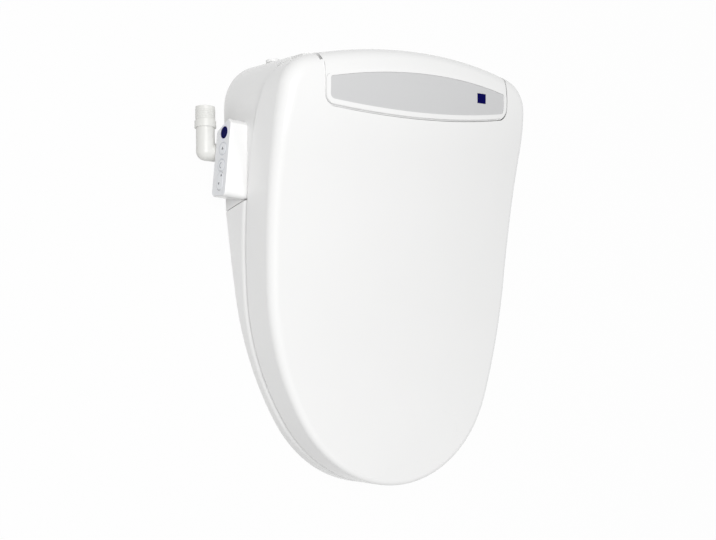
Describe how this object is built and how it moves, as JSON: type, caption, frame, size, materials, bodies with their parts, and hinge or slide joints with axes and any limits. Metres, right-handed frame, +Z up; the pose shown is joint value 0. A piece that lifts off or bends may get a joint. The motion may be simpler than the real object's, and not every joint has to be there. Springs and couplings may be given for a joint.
{
  "type": "bidet toilet seat",
  "caption": "Electronic bidet toilet seat with a soft-closing lid and seat ring, a rear housing with a silver inlay, a side control box and a swivelling inlet elbow.",
  "frame": {"origin": "on the plane of the toilet bowl's rim, midway between the two fixing bolts", "axes": "+Z up, -Y towards the front tip, +Y to the rear wall, +X to the left of somebody who sits on the seat"},
  "size_m": [0.4055, 0.4985, 0.1466],
  "materials": {
    "white_shell": "gloss",
    "silver_inlay": "satin silver",
    "label_grey": "matte",
    "key_grey": "matte",
    "deep_blue": "gloss",
    "ivory": "satin",
    "rubber_grey": "matte",
    "rubber_black": "matte",
    "steel": "brushed",
    "dark_plastic": "matte",
    "plate_grey": "matte",
    "board_green": "satin",
    "heating_foil": "foil",
    "filter_black": "porous"
  },
  "bodies": {
    "housing": {"upper_housing": "white_shell", "base_tray": "white_shell", "trim_rim": "white_shell", "silver_panel": "silver_inlay", "status_window": "deep_blue", "housing_screws": "steel", "housing_feet": "rubber_grey", "lid_damper": "dark_plastic", "seat_damper": "dark_plastic", "control_box": "white_shell", "control_label": "label_grey", "rocker_pin": "steel", "button_board": "board_green", "inlet_spigot": "ivory", "nozzle_cylinders": "ivory", "nozzle_shroud": "white_shell", "heater_tank": "ivory", "outlet_pipe": "rubber_black", "blower_housing": "dark_plastic", "fan_motor": "steel", "control_board": "board_green", "display_board": "board_green", "solenoid_valve": "dark_plastic", "wash_pump": "dark_plastic", "water_hose": "rubber_black", "transformer": "steel", "cord_gland": "rubber_black", "drain_plug": "ivory"},
    "seat": {"seat_ring": "white_shell", "seat_base": "plate_grey", "seat_heater": "heating_foil", "seat_bumpers": "rubber_grey", "seat_shaft": "steel"},
    "lid": {"lid": "white_shell", "lid_bumpers": "rubber_grey", "lid_shaft": "steel"},
    "power_key": {"power_button": "deep_blue"},
    "up_key": {"up_button": "key_grey"},
    "stop_key": {"stop_button": "key_grey"},
    "rocker": {"adjust_rocker": "key_grey"},
    "elbow": {"inlet_elbow": "ivory", "inlet_strainer": "steel"},
    "rear_nozzle": {"rear_wash_nozzle": "ivory"},
    "front_nozzle": {"front_wash_nozzle": "ivory"},
    "filter": {"filter_cartridge": "white_shell", "filter_media": "filter_black"},
    "fan": {"fan_impeller": "dark_plastic"},
    "plate": {"mounting_plate": "plate_grey"}
  },
  "joints": [
    {"name": "seat_hinge", "type": "hinge", "parent": "housing", "child": "seat", "pos_m": [0, 0.03, 0.104], "axis": [-1, 0, 0], "range_deg": [0, 100]},
    {"name": "lid_hinge", "type": "hinge", "parent": "seat", "child": "lid", "pos_m": [0, 0.03, 0.104], "axis": [1, 0, 0], "range_deg": [-100, 0]},
    {"name": "power_press", "type": "slide", "parent": "housing", "child": "power_key", "axis": [0.9907, -0.1357, 0], "range_m": [0, 0.0012], "stiffness_N_per_m": 400},
    {"name": "up_press", "type": "slide", "parent": "housing", "child": "up_key", "axis": [0.9907, -0.1357, 0], "range_m": [0, 0.0012], "stiffness_N_per_m": 400},
    {"name": "stop_press", "type": "slide", "parent": "housing", "child": "stop_key", "axis": [0.9907, -0.1357, 0], "range_m": [0, 0.0012], "stiffness_N_per_m": 400},
    {"name": "rocker_tilt", "type": "hinge", "parent": "housing", "child": "rocker", "pos_m": [-0.20526, -0.07603, 0.03437], "axis": [-0.0104, -0.076, 0.9971], "range_deg": [-4, 4], "stiffness_Nm_per_rad": 0.02},
    {"name": "elbow_swivel", "type": "hinge", "parent": "housing", "child": "elbow", "pos_m": [-0.17916, -0.0425, 0.0122], "axis": [-0.9969, 0.0785, 0], "range_deg": [0, 90]},
    {"name": "rear_nozzle_slide", "type": "slide", "parent": "housing", "child": "rear_nozzle", "axis": [0, -0.9063, -0.4226], "range_m": [0, 0.08]},
    {"name": "front_nozzle_slide", "type": "slide", "parent": "housing", "child": "front_nozzle", "axis": [0, -0.9063, -0.4226], "range_m": [0, 0.08]},
    {"name": "filter_slide", "type": "slide", "parent": "housing", "child": "filter", "axis": [1, 0, 0], "range_m": [0, 0.045]},
    {"name": "fan_spin", "type": "hinge", "parent": "housing", "child": "fan", "pos_m": [0.066, 0.015, 0.03], "axis": [0, 0, 1], "continuous": true},
    {"name": "plate_slide", "type": "slide", "parent": "housing", "child": "plate", "axis": [0, 1, 0], "range_m": [0, 0.03]}
  ]
}
